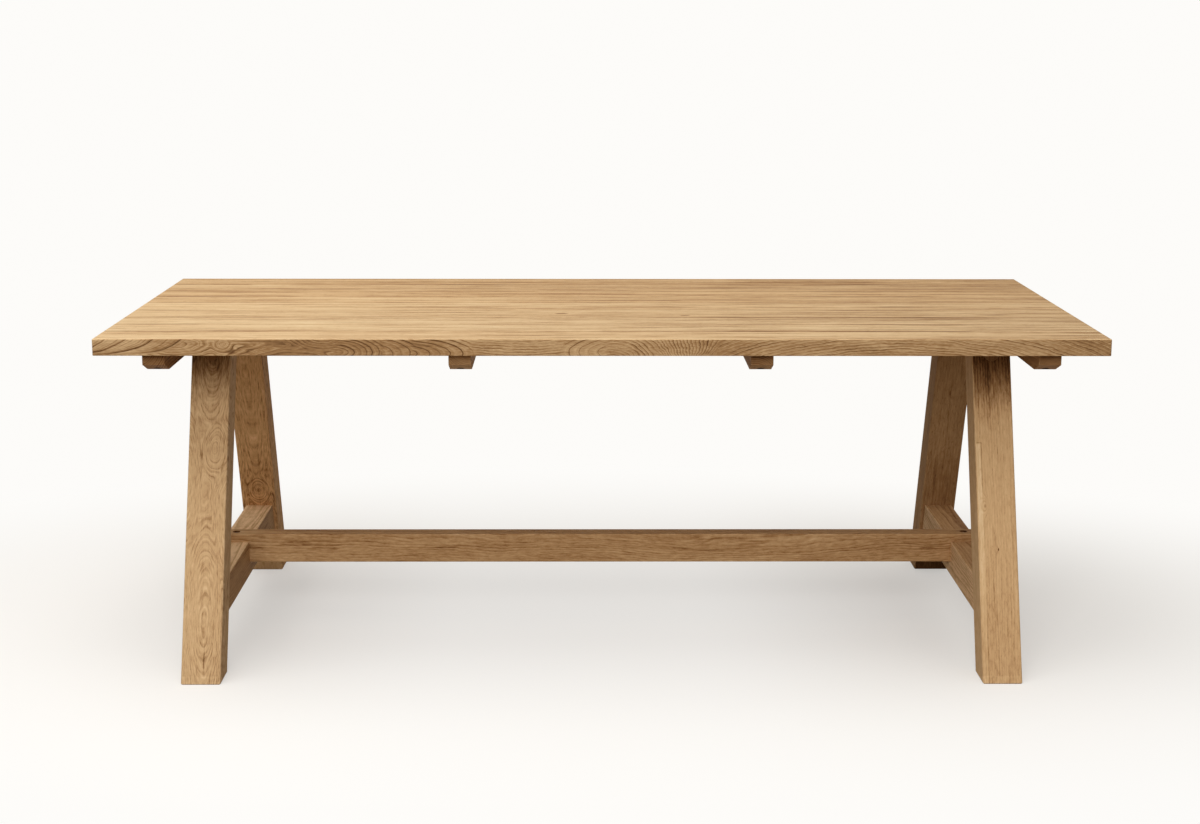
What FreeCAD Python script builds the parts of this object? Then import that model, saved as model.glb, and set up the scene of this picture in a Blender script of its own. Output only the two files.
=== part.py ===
import FreeCAD, Part
import math
import os

# Dining table: a top of tongued boards on four battens, carried by two A-frames
# of leaning legs that a long stretcher holds apart. Millimetres, +Z up, +X along
# the table, origin on the floor under the middle of the top.

# Overall sizes
table_length = 2200.0
table_width = 1000.0
table_height = 775.0

# Top boards, listed from the front edge to the back edge
top_thickness = 37.0
board_width_shares = (0.105, 0.106, 0.106, 0.112, 0.124, 0.103, 0.102, 0.121, 0.121)
tongue_thickness = 10.0
tongue_length = 10.0
groove_floor_gap = 1.0
top_arris = 3.0
lower_arris = 1.0
seam_arris = 0.6

# Legs, square to their own faces and cut level at the floor and under the top.
# The feet stand a little outside the top's long edges, and the gap is the clear
# one between a front leg and a back leg right under the top.
leg_width = 88.0
leg_thickness = 84.0
leg_end_overhang = 164.0
foot_outset = 15.0
leg_top_gap = 280.0
leg_arris = 4.0
foot_arris = 2.0

# Cross stretchers, one between the two legs of each A-frame
cross_width = 69.0
cross_height = 82.0
cross_top_height = 196.0
cross_tenon_thickness = 28.0
cross_tenon_shoulder = 13.0
cross_tenon_length = 50.0
rail_arris = 2.5

# Top rails, hidden between the leg tops
top_rail_width = 45.0
top_rail_height = 70.0
top_rail_tenon_thickness = 18.0
top_rail_tenon_shoulder = 14.0
top_rail_tenon_length = 25.0

# Long stretcher, with a tongue over each cross stretcher
long_thickness = 50.0
long_height = 70.0
long_tongue_thickness = 20.0

# Battens under the top. Each outer one lies between a leg and the table's end, at
# a share of that overhang. The middle ones lie at uneven shares of the way from
# the centre to a leg.
batten_width = 49.0
batten_height = 48.0
batten_end_setback = 58.0
batten_bevel_length = 50.0
batten_bevel_height = 18.0
batten_arris = 1.5
outer_batten_share = 0.278
middle_batten_shares = (-0.351, 0.392)

# Wood screws, up through the battens and top rails into the boards
screw_shank_diameter = 5.0
screw_head_diameter = 9.5
screw_head_depth = 3.0
screw_grip_in_board = 27.0
screw_recess_diameter = 16.0
batten_recess_depth = 22.0
rail_recess_depth = 40.0
end_screw_setback = 40.0
screwed_board_step = 2
rail_screw_set_in = 60.0

# Bolts, all of one size
bolt_shank_diameter = 8.0
bolt_head_diameter = 13.0
bolt_head_height = 8.0
socket_across_flats = 6.0
socket_depth = 4.0
nut_across_flats = 13.0
nut_height = 6.5

# Stretcher bolts, down through the long stretcher's tongues
stretcher_recess_diameter = 18.0
stretcher_recess_depth = 13.0
stretcher_washer_diameter = 16.0
stretcher_washer_thickness = 1.6
nut_recess_diameter = 22.0
nut_recess_depth = 20.0

# Leg bolts, level through each leg into a barrel nut in the top rail
leg_recess_diameter = 38.0
leg_recess_depth = 35.0
leg_washer_diameter = 30.0
leg_washer_thickness = 2.0
plug_length = 12.0
barrel_set_in = 37.0
barrel_diameter = 12.0
barrel_length = 20.0
bolt_past_barrel = 6.0

# Sides of the small round pieces and holes that repeat
small_sides = 8
recess_sides = 12

# Fits, the overrun of every cut, and how near two places are to be the same
joint_gap = 0.1
tenon_end_gap = 2.0
hole_gap = 0.25
plug_gap = 0.15
overrun = 10.0
same_place = 0.001

# Worked out from the sizes above
half_length = table_length / 2
half_width = table_width / 2
under_top = table_height - top_thickness
lean_run = half_width + foot_outset - leg_top_gap / 2
lean_square = under_top**2 - leg_thickness**2
lean_reach = math.sqrt(lean_run**2 + lean_square)
lean_slope = (lean_run * under_top - leg_thickness * lean_reach) / lean_square
leg_depth = leg_thickness * math.sqrt(1 + lean_slope**2)
barrel_depth = leg_depth + barrel_set_in
frame_place = half_length - leg_end_overhang - leg_width / 2
cross_bottom = cross_top_height - cross_height
rail_bottom = under_top - top_rail_height
rail_middle = under_top - top_rail_height / 2
long_top = cross_top_height + long_tongue_thickness
long_bottom = long_top - long_height
batten_bottom = under_top - batten_height
batten_half_length = half_width - batten_end_setback
outer_batten_place = frame_place + leg_width / 2 + outer_batten_share * leg_end_overhang
batten_places = (
    -outer_batten_place,
    middle_batten_shares[0] * frame_place,
    middle_batten_shares[1] * frame_place,
    outer_batten_place,
)
batten_names = ("left_end", "left_middle", "right_middle", "right_end")
sides = {"left": -1, "right": 1}
frame_places = [side * frame_place for side in sides.values()]
bolt_hole_diameter = bolt_shank_diameter + 2 * hole_gap
screw_hole_diameter = screw_shank_diameter + 2 * hole_gap

vector = FreeCAD.Vector
origin = vector(0, 0, 0)
along_x = vector(1, 0, 0)
along_y = vector(0, 1, 0)
along_z = vector(0, 0, 1)


# Solids, edges and mirror images

def block(x_low, x_high, y_low, y_high, z_low, z_high):
    corner = vector(x_low, y_low, z_low)
    return Part.makeBox(x_high - x_low, y_high - y_low, z_high - z_low, corner)


def slab(points, thickness_along):
    """Flat outline through the points, given its thickness."""
    wire = Part.makePolygon(points + points[:1])
    return Part.Face(wire).extrude(thickness_along)


def end_view_slab(outline, place, width):
    """Outline of (depth, height) pairs, given its width about a place along X."""
    points = [vector(place - width / 2, y, z) for y, z in outline]
    return slab(points, along_x * width)


def rod(diameter, start, end):
    run = end - start
    return Part.makeCylinder(diameter / 2, run.Length, start, run)


def prism(sides, diameter, start, end):
    """Many-sided bar from start to end. The diameter is the one across its corners."""
    run = end - start
    arm = run.cross(along_x).normalize() * (diameter / 2)
    step = 2 * math.pi / sides
    turns = [FreeCAD.Rotation(run, math.degrees(step * count)) for count in range(sides)]
    return slab([start + turn.multVec(arm) for turn in turns], run)


def small_rod(diameter, start, end):
    return prism(small_sides, diameter, start, end)


def hexagon(across_flats, start, end):
    return prism(6, across_flats / math.cos(math.pi / 6), start, end)


def washer(diameter, start, end):
    return small_rod(diameter, start, end).cut(small_rod(bolt_hole_diameter, start, end))


def to_back(shape):
    """The same piece at the back of the table."""
    return shape.mirror(origin, along_y)


def runs_along(edge, direction):
    run = edge.Vertexes[-1].Point - edge.Vertexes[0].Point
    return run.Length > 0 and run.cross(direction).Length < same_place * run.Length


def lies_at_height(edge, height):
    return all(abs(corner.Z - height) < same_place for corner in edge.Vertexes)


def lies_at_depth(edge, depth):
    return all(abs(corner.Y - depth) < same_place for corner in edge.Vertexes)


# Screws and their holes

def batten_screw_depths():
    """A screw in every second board, the end ones set in from the batten's ends."""
    seams = board_seams()
    depths = [(low + high) / 2 for low, high in zip(seams, seams[1:])][::screwed_board_step]
    depths[0] = end_screw_setback - batten_half_length
    depths[-1] = batten_half_length - end_screw_setback
    return depths


def batten_screw_heads(place):
    height = batten_bottom + batten_recess_depth
    return [vector(place, depth, height) for depth in batten_screw_depths()]


def rail_screw_heads(place):
    height = rail_bottom + rail_recess_depth
    depth = leg_back(under_top) + rail_screw_set_in
    return [vector(place, depth, height), vector(place, -depth, height)]


def screw_recesses(heads, bottom):
    """A recess below each head, and a clearance hole above it."""
    holes = []
    for head in heads:
        mouth = vector(head.x, head.y, bottom - overrun)
        roof = vector(head.x, head.y, under_top + overrun)
        holes.append(prism(recess_sides, screw_recess_diameter, mouth, head))
        holes.append(small_rod(screw_hole_diameter, head, roof))
    return Part.makeCompound(holes)


def screw(head):
    """Pan-headed wood screw that bears at this point and stands upward."""
    below = head - along_z * screw_head_depth
    tip = vector(head.x, head.y, under_top + screw_grip_in_board)
    shank = small_rod(screw_shank_diameter, head, tip)
    return small_rod(screw_head_diameter, below, head).fuse(shank).removeSplitter()


def pilot_holes():
    """Holes for all the screws in the underside of the boards."""
    heads = [head for place in batten_places for head in batten_screw_heads(place)]
    heads += [head for place in frame_places for head in rail_screw_heads(place)]
    holes = []
    for head in heads:
        mouth = vector(head.x, head.y, under_top - overrun)
        floor = vector(head.x, head.y, under_top + screw_grip_in_board + hole_gap)
        holes.append(small_rod(screw_hole_diameter, mouth, floor))
    return holes


# Top

def board_seams():
    """Depth places of the board edges, from the front of the top to its back."""
    places = [-half_width]
    for share in board_width_shares:
        places.append(places[-1] + share * table_width)
    return places


def top_board(front, back, is_first, is_last):
    """One board, grooved along its front edge and tongued along its back edge."""
    tongue_low = under_top + (top_thickness - tongue_thickness) / 2
    tongue_high = tongue_low + tongue_thickness
    outline = [(back, under_top), (back, table_height), (front, table_height), (front, under_top)]
    board = end_view_slab(outline, 0, table_length)
    seams = [front] * (not is_first) + [back] * (not is_last)

    def at_seam(edge):
        return any(lies_at_depth(edge, seam) for seam in seams)

    def below(edge):
        return lies_at_height(edge, under_top)

    rounded = [edge for edge in board.Edges if not at_seam(edge) and not below(edge)]
    board = board.makeFillet(top_arris, rounded)
    lower = [edge for edge in board.Edges if not at_seam(edge) and below(edge)]
    board = board.makeChamfer(lower_arris, lower)
    upper = [edge for edge in board.Edges if lies_at_height(edge, table_height) and at_seam(edge)]
    board = board.makeChamfer(seam_arris, upper)
    if not is_last:
        tongue = block(
            -half_length,
            half_length,
            back - overrun,
            back + tongue_length,
            tongue_low + joint_gap,
            tongue_high - joint_gap,
        )
        board = board.fuse(tongue).removeSplitter()
    if not is_first:
        groove = block(
            -half_length - overrun,
            half_length + overrun,
            front - overrun,
            front + tongue_length + groove_floor_gap,
            tongue_low,
            tongue_high,
        )
        board = board.cut(groove)
    reach = board.BoundBox
    holes = [
        hole
        for hole in pilot_holes()
        if hole.BoundBox.YMax > reach.YMin and hole.BoundBox.YMin < reach.YMax
    ]
    return board.cut(Part.makeCompound(holes))


def batten(place):
    """Bearer under the boards, bevelled from below at both ends."""
    bevel_top = batten_bottom + batten_bevel_height
    bevel_foot = batten_half_length - batten_bevel_length
    outline = [
        (-batten_half_length, under_top),
        (-batten_half_length, bevel_top),
        (-bevel_foot, batten_bottom),
        (bevel_foot, batten_bottom),
        (batten_half_length, bevel_top),
        (batten_half_length, under_top),
    ]
    bearer = end_view_slab(outline, place, batten_width)
    arrises = [
        edge
        for edge in bearer.Edges
        if runs_along(edge, along_y) and lies_at_height(edge, batten_bottom)
    ]
    bearer = bearer.makeFillet(batten_arris, arrises)
    return bearer.cut(screw_recesses(batten_screw_heads(place), batten_bottom))


# A-frames

def leg_front(height):
    """Depth place of a front leg's front face at this height."""
    return lean_slope * height - half_width - foot_outset


def leg_back(height):
    """Depth place of a front leg's back face at this height."""
    return leg_front(height) + leg_depth


def leg_bolt_point(place, depth):
    """Point on a front leg bolt's line, this far behind the leg's front face."""
    return vector(place, leg_front(rail_middle) + depth, rail_middle)


def barrel_point(place, height):
    """Point on the upright line of a front leg bolt's barrel nut."""
    depth = leg_bolt_point(place, barrel_depth).y
    return vector(place, depth, height)


def front_leg_blank(place):
    outline = [
        (leg_front(0), 0),
        (leg_front(under_top), under_top),
        (leg_back(under_top), under_top),
        (leg_back(0), 0),
    ]
    return end_view_slab(outline, place, leg_width)


def slanted_tenon(low, high, length, thickness, place, gap):
    """Tenon into a front leg, or its mortise where there is a gap.

    It starts behind the leg's back face and ends parallel to that face.
    """
    low = low - gap
    high = high + gap
    reach = length + (tenon_end_gap if gap else 0)
    outline = [
        (leg_back(low) + overrun, low),
        (leg_back(high) + overrun, high),
        (leg_back(high) - reach, high),
        (leg_back(low) - reach, low),
    ]
    return end_view_slab(outline, place, thickness + 2 * gap)


def cross_tenon(place, gap):
    low = cross_bottom + cross_tenon_shoulder
    high = cross_top_height - cross_tenon_shoulder
    return slanted_tenon(low, high, cross_tenon_length, cross_tenon_thickness, place, gap)


def top_rail_tenon(place, gap):
    low = rail_bottom + top_rail_tenon_shoulder
    high = under_top - top_rail_tenon_shoulder
    return slanted_tenon(low, high, top_rail_tenon_length, top_rail_tenon_thickness, place, gap)


def front_leg(place):
    """Leaning leg with two mortises and the stepped hole for its bolt."""
    leg = front_leg_blank(place)
    lean = vector(0, leg_front(under_top) - leg_front(0), under_top)
    leg = leg.makeFillet(leg_arris, [edge for edge in leg.Edges if runs_along(edge, lean)])
    leg = leg.makeChamfer(foot_arris, [edge for edge in leg.Edges if lies_at_height(edge, 0)])
    leg = leg.cut(cross_tenon(place, joint_gap))
    leg = leg.cut(top_rail_tenon(place, joint_gap))
    seat = leg_bolt_point(place, leg_recess_depth)
    leg = leg.cut(rod(leg_recess_diameter, leg_bolt_point(place, -overrun), seat))
    return leg.cut(small_rod(bolt_hole_diameter, seat, leg_bolt_point(place, leg_depth + overrun)))


def rail_between_legs(low, high, place, width):
    """Rail whose ends are cut to the lean of the two legs it stands between."""
    outline = [
        (leg_back(low), low),
        (leg_back(high), high),
        (-leg_back(high), high),
        (-leg_back(low), low),
    ]
    return end_view_slab(outline, place, width)


def cross_stretcher(place):
    """Stretcher tenoned into both legs, with an upright bolt hole at its middle."""
    rail = rail_between_legs(cross_bottom, cross_top_height, place, cross_width)
    arrises = [edge for edge in rail.Edges if runs_along(edge, along_y)]
    rail = rail.makeFillet(rail_arris, arrises)
    tenon = cross_tenon(place, 0)
    rail = rail.fuse([tenon, to_back(tenon)]).removeSplitter()
    seat = vector(place, 0, cross_bottom + nut_recess_depth)
    rail = rail.cut(small_rod(bolt_hole_diameter, seat, vector(place, 0, cross_top_height + overrun)))
    return rail.cut(rod(nut_recess_diameter, vector(place, 0, cross_bottom - overrun), seat))


def top_rail(place):
    """Rail tenoned between the leg tops, holed for its screws, bolts and barrel nuts."""
    rail = rail_between_legs(rail_bottom, under_top, place, top_rail_width)
    arrises = [
        edge
        for edge in rail.Edges
        if runs_along(edge, along_y) and lies_at_height(edge, rail_bottom)
    ]
    rail = rail.makeFillet(rail_arris, arrises)
    tenon = top_rail_tenon(place, 0)
    rail = rail.fuse([tenon, to_back(tenon)]).removeSplitter()
    bolt_tip = leg_bolt_point(place, barrel_depth + barrel_diameter)
    barrel_mouth = barrel_point(place, rail_bottom - overrun)
    barrel_roof = barrel_point(place, rail_middle + barrel_length / 2 + hole_gap)
    holes = [
        small_rod(bolt_hole_diameter, leg_bolt_point(place, leg_recess_depth), bolt_tip),
        small_rod(barrel_diameter + 2 * hole_gap, barrel_mouth, barrel_roof),
    ]
    holes += [to_back(hole) for hole in holes]
    rail = rail.cut(Part.makeCompound(holes))
    return rail.cut(screw_recesses(rail_screw_heads(place), rail_bottom))


def long_stretcher():
    """Beam rebated at both ends, so that a tongue lies over each cross stretcher."""
    inner = frame_place - cross_width / 2
    outer = frame_place + cross_width / 2
    right_end = [
        (inner, long_bottom),
        (inner, cross_top_height),
        (outer, cross_top_height),
        (outer, long_top),
    ]
    left_end = [(-x, z) for x, z in reversed(right_end)]
    points = [vector(x, -long_thickness / 2, z) for x, z in right_end + left_end]
    beam = slab(points, along_y * long_thickness)
    arrises = [
        edge
        for edge in beam.Edges
        if runs_along(edge, along_x)
        and (lies_at_height(edge, long_top) or lies_at_height(edge, long_bottom))
    ]
    beam = beam.makeFillet(rail_arris, arrises)
    for place in frame_places:
        seat = vector(place, 0, long_top - stretcher_recess_depth)
        beam = beam.cut(rod(stretcher_recess_diameter, seat, vector(place, 0, long_top + overrun)))
        beam = beam.cut(small_rod(bolt_hole_diameter, vector(place, 0, cross_top_height - overrun), seat))
    return beam


# Bolts, washers, nuts and plugs

def cap_bolt(head_top, seat, tip):
    shank = small_rod(bolt_shank_diameter, seat, tip)
    return small_rod(bolt_head_diameter, head_top, seat).fuse(shank).removeSplitter()


def stretcher_bolt(place):
    seat_height = long_top - stretcher_recess_depth + stretcher_washer_thickness
    tip_height = cross_bottom + nut_recess_depth - stretcher_washer_thickness - nut_height
    head_top = vector(place, 0, seat_height + bolt_head_height)
    bolt = cap_bolt(head_top, vector(place, 0, seat_height), vector(place, 0, tip_height))
    return bolt.cut(hexagon(socket_across_flats, head_top - along_z * socket_depth, head_top))


def upper_stretcher_washer(place):
    low = vector(place, 0, long_top - stretcher_recess_depth)
    return washer(stretcher_washer_diameter, low, low + along_z * stretcher_washer_thickness)


def lower_stretcher_washer(place):
    high = vector(place, 0, cross_bottom + nut_recess_depth)
    return washer(stretcher_washer_diameter, high - along_z * stretcher_washer_thickness, high)


def stretcher_nut(place):
    high = vector(place, 0, cross_bottom + nut_recess_depth - stretcher_washer_thickness)
    low = high - along_z * nut_height
    return hexagon(nut_across_flats, low, high).cut(small_rod(bolt_hole_diameter, low, high))


def leg_bolt(place):
    """Level bolt from its washer in the leg to just past its barrel nut."""
    seat = leg_bolt_point(place, leg_recess_depth - leg_washer_thickness)
    tip = leg_bolt_point(place, barrel_depth + bolt_past_barrel)
    return cap_bolt(seat - along_y * bolt_head_height, seat, tip)


def leg_bolt_washer(place):
    front = leg_bolt_point(place, leg_recess_depth - leg_washer_thickness)
    return washer(leg_washer_diameter, front, leg_bolt_point(place, leg_recess_depth))


def barrel_nut(place):
    low = barrel_point(place, rail_middle - barrel_length / 2)
    high = barrel_point(place, rail_middle + barrel_length / 2)
    before = leg_bolt_point(place, leg_recess_depth)
    beyond = leg_bolt_point(place, barrel_depth + barrel_diameter)
    return small_rod(barrel_diameter, low, high).cut(small_rod(bolt_hole_diameter, before, beyond))


def leg_plug(place):
    """Wooden plug over the bolt head, finished flush with the leaning face."""
    mouth = leg_bolt_point(place, -overrun)
    dowel = rod(leg_recess_diameter - 2 * plug_gap, mouth, leg_bolt_point(place, plug_length))
    return dowel.common(front_leg_blank(place))


# Nodes

def at_both_frames(*makers):
    return Part.makeCompound([make(place) for make in makers for place in frame_places])


def at_all_legs(make_front):
    front_pieces = [make_front(place) for place in frame_places]
    return Part.makeCompound(front_pieces + [to_back(piece) for piece in front_pieces])


def screws_at(heads_of, places):
    return Part.makeCompound([screw(head) for place in places for head in heads_of(place)])


def make_nodes():
    nodes = {}
    seams = board_seams()
    board_count = len(board_width_shares)
    for index in range(board_count):
        is_last = index == board_count - 1
        board = top_board(seams[index], seams[index + 1], index == 0, is_last)
        nodes["top_board_" + str(index + 1)] = board
    for name, place in zip(batten_names, batten_places):
        nodes["batten_" + name] = batten(place)
    for name, side in sides.items():
        place = side * frame_place
        leg = front_leg(place)
        nodes["leg_front_" + name] = leg
        nodes["leg_back_" + name] = to_back(leg)
        nodes["cross_stretcher_" + name] = cross_stretcher(place)
        nodes["top_rail_" + name] = top_rail(place)
    nodes["long_stretcher"] = long_stretcher()
    nodes["batten_screws"] = screws_at(batten_screw_heads, batten_places)
    nodes["top_rail_screws"] = screws_at(rail_screw_heads, frame_places)
    nodes["stretcher_bolts"] = at_both_frames(stretcher_bolt)
    nodes["stretcher_washers"] = at_both_frames(upper_stretcher_washer, lower_stretcher_washer)
    nodes["stretcher_nuts"] = at_both_frames(stretcher_nut)
    nodes["leg_bolts"] = at_all_legs(leg_bolt)
    nodes["leg_bolt_washers"] = at_all_legs(leg_bolt_washer)
    nodes["barrel_nuts"] = at_all_legs(barrel_nut)
    nodes["leg_plugs"] = at_all_legs(leg_plug)
    return nodes


os.makedirs("parts", exist_ok=True)
for node_name, shape in make_nodes().items():
    shape.exportStep("parts/" + node_name + ".step")
    print(node_name, len(shape.Solids), "solids", round(shape.Volume), "mm3, valid", shape.isValid())
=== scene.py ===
import math

import bpy
from mathutils import Matrix, Vector


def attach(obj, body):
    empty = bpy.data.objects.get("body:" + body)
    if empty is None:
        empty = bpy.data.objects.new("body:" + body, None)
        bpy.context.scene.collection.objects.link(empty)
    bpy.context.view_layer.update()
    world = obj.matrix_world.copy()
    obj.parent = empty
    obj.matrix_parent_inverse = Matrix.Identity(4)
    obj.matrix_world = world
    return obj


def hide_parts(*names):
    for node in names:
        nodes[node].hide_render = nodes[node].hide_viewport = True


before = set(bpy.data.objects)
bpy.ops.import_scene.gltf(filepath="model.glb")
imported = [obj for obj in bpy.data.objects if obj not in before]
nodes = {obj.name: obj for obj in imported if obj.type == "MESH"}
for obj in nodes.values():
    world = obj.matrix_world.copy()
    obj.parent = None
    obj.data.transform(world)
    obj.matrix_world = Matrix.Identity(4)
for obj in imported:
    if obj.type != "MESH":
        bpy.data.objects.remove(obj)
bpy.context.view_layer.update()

scene = bpy.context.scene
scene.view_settings.view_transform = "Standard"
print("frame loaded:", len(nodes), "nodes")


# Places that several pieces share, in metres

tableValues = {
    "frames": (-0.892, 0.892),
    "battens": (-0.9816, -0.3131, 0.3497, 0.9816),
    "battenScrews": (-0.402, -0.236, -0.009, 0.207, 0.402),
    "railScrews": (-0.080, 0.080),
    "railHeight": 0.703,
    "undersideOfTop": 0.738,
    "face": 0.775,
}


# Camera, at the photo's angle

cameraValues = {
    "place": (-0.0448, -4.7480, 1.4614),
    "degreesDown": 11.270,
    "degreesToRight": 0.519,
    "degreesRolled": 0.108,
    "lens": 59.883,
    "sensorWidth": 36.0,
}


def makeCamera(values):
    lensData = bpy.data.cameras.new("tableCamera")
    lensData.lens = values["lens"]
    lensData.sensor_width = values["sensorWidth"]
    camera = bpy.data.objects.new("tableCamera", lensData)
    scene.collection.objects.link(camera)
    heading = Matrix.Rotation(-math.radians(values["degreesToRight"]), 4, "Z")
    tilt = Matrix.Rotation(math.radians(90 - values["degreesDown"]), 4, "X")
    roll = Matrix.Rotation(math.radians(values["degreesRolled"]), 4, "Z")
    camera.matrix_world = Matrix.Translation(values["place"]) @ heading @ tilt @ roll
    scene.camera = camera


makeCamera(cameraValues)
print("camera made")


# Shader helpers: a value may be a number, a vector, a colour or another node's output

def wire(socket, value):
    if isinstance(value, bpy.types.NodeSocket):
        socket.id_data.links.new(value, socket)
    else:
        socket.default_value = value


def addNode(kind, wires=None, tree=None, **settings):  # with no tree given, it goes where its wires come from
    wires = wires or {}
    if tree is None:
        tree = next(value.id_data for value in wires.values() if isinstance(value, bpy.types.NodeSocket))
    made = tree.nodes.new("ShaderNode" + kind)
    for name, value in settings.items():
        setattr(made, name, value)
    for key, value in wires.items():
        wire(made.inputs[key], value)
    return made


def calc(operation, *values, clamp=False):  # on vectors if one of the values is a vector or a colour
    if any(isinstance(value, tuple) or getattr(value, "type", "") in ("VECTOR", "RGBA") for value in values):
        values = [(value,) * 3 if isinstance(value, float) else value for value in values]
        made = addNode("VectorMath", dict(enumerate(values)), operation=operation)
        return made.outputs["Value" if operation == "LENGTH" else "Vector"]
    return addNode("Math", dict(enumerate(values)), operation=operation, use_clamp=clamp).outputs[0]


def plus(first, *others):
    for other in others:
        first = calc("ADD", first, other)
    return first


def minus(first, second):
    return calc("SUBTRACT", first, second)


def times(first, *others):
    for other in others:
        first = calc("MULTIPLY", first, other)
    return first


def over(first, second):
    return calc("DIVIDE", first, second)


def ease(value, start, end, low=0.0, high=1.0):  # smooth step from low to high
    wires = {"Value": value, "From Min": start, "From Max": end, "To Min": low, "To Max": high}
    return addNode("MapRange", wires, interpolation_type="SMOOTHSTEP").outputs["Result"]


def within(value, start, full, last, end):  # 1 from full to last, and 0 before start and after end
    return times(ease(value, start, full), ease(value, last, end, 1.0, 0.0))


def noise(place, size, detail=2.0, roughness=0.5, output="Fac"):
    wires = {"Vector": times(place, size), "Scale": 1.0, "Detail": detail, "Roughness": roughness}
    return addNode("TexNoise", wires).outputs[output]


def wobble(place, size, *roughness):  # a vector that wanders about zero
    return minus(noise(place, size, *roughness, output="Color"), 0.5)


def chanceOf(value):
    return addNode("TexWhiteNoise", {"W": value}, noise_dimensions="1D").outputs["Value"]


def weigh(share, first, second):  # plain mix of two values
    return addNode("Mix", {0: share, 2: first, 3: second}, data_type="FLOAT").outputs[0]


def blend(share, first, second):  # plain mix of two colours
    return addNode("Mix", {0: share, 6: first, 7: second}, data_type="RGBA").outputs[2]


def axesOf(vector):
    return addNode("SeparateXYZ", {0: vector}).outputs


def vectorOf(x, y, z):
    return addNode("CombineXYZ", {"X": x, "Y": y, "Z": z}).outputs[0]


def turnedBack(vector, turn, centre=(0.0, 0.0, 0.0)):  # from the table's frame into a piece's own
    wires = {"Vector": vector, "Location": centre, "Rotation": turn}
    return addNode("Mapping", wires, vector_type="TEXTURE").outputs[0]


def paint(red, green, blue):  # screen colour of 0 to 255 as the linear colour that shaders take
    shares = [channel / 255 for channel in (red, green, blue)]
    return tuple(s / 12.92 if s <= 0.04045 else ((s + 0.055) / 1.055) ** 2.4 for s in shares) + (1.0,)


vectorSockets = ("Place", "Local", "Normal", "Centre", "Extent", "Weights", "Turn", "Hole", "Half", "SwirlSize")


def newGroup(name, inputs, outputs):  # all other sockets are plain values
    tree = bpy.data.node_groups.new(name, "ShaderNodeTree")
    for direction, names in (("INPUT", inputs), ("OUTPUT", outputs)):
        for socketName in names:
            kind = "NodeSocketVector" if socketName in vectorSockets else "NodeSocketFloat"
            tree.interface.new_socket(name=socketName, in_out=direction, socket_type=kind)
    return tree, tree.nodes.new("NodeGroupInput").outputs, tree.nodes.new("NodeGroupOutput").inputs


def useGroup(group, **wires):
    return addNode("Group", wires, node_tree=group).outputs


# Growth rings from a field whose whole numbers are the rings: a dark line that fades in
# from one side and a pale band after it, each ring of its own strength

ringValues = {
    "darkStart": 0.46,
    "darkPeak": 0.80,
    "darkEnd": 0.98,
    "paleEnd": 0.36,
}


def makeRingLines(values):
    tree, given, out = newGroup("ringLines", ("Field", "Seed", "Weakest"), ("Dark", "Pale"))
    part = calc("FRACT", given["Field"])
    chance = chanceOf(plus(calc("FLOOR", given["Field"]), given["Seed"]))
    line = within(part, values["darkStart"], values["darkPeak"], values["darkPeak"], values["darkEnd"])
    wire(out["Dark"], times(weigh(chance, given["Weakest"], 1.0), line))
    wire(out["Pale"], ease(part, 0.0, values["paleEnd"], 1.0, 0.0))
    return tree


ringLines = makeRingLines(ringValues)


def linesOf(field, seed, weakest):
    return useGroup(ringLines, Field=field, Seed=seed, Weakest=weakest)


# The place that the grain follows: it wanders slowly, and a little more quickly on top

wanderValues = {
    "slow": (1.2, 3.0, 3.0),
    "slowShare": 2.0,
    "quick": (6.0, 18.0, 18.0),
    "quickShare": 0.35,
    "seedStep": (1.31, 2.17, 3.73),
}


def seededPlace(given):
    return plus(given["Place"], times(wanderValues["seedStep"], given["Seed"]))


def makeWander(values):
    tree, given, out = newGroup("wander", ("Place", "Seed", "Drift"), ("Place",))
    seeded = seededPlace(given)
    slow = times(wobble(seeded, values["slow"]), given["Drift"], values["slowShare"])
    quick = times(wobble(seeded, values["quick"]), given["Drift"], values["quickShare"])
    wire(out["Place"], plus(given["Place"], slow, quick))
    return tree


wander = makeWander(wanderValues)


# Wood in the round: rings that follow a reach in metres, strands that run with them, and
# streaks, fibres and pores along the piece's own X. Each pattern has its cycles per metre
# along and across the grain, its detail and its roughness. Strands count theirs per ring.

grainValues = {
    "tone": ((1.4, 11.0, 11.0), 3.0, 0.5),
    "streaks": ((5.0, 72.0, 72.0), 4.0, 0.66),
    "longStreaks": ((1.2, 40.0, 40.0), 3.0, 0.60),
    "longShare": 0.50,
    "flecks": ((3.2, 130.0, 130.0), 1.0, 0.5),
    "fleckEdges": (0.60, 0.72),
    "fibres": ((20.0, 420.0, 420.0), 2.0, 0.6),
    "strands": ((26.0, 1.7, 1.0), 3.0, 0.6),
    "pores": ((60.0, 950.0, 950.0), 1.0, 0.5),
    "poreEdges": (0.60, 0.70),
    "poresInDark": 0.45,
    "swirl": (2.5, 0.45),
    "height": {"Fibres": 0.5, "Strands": 0.6, "Dark": -0.45, "Pores": -0.8},
}


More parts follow.
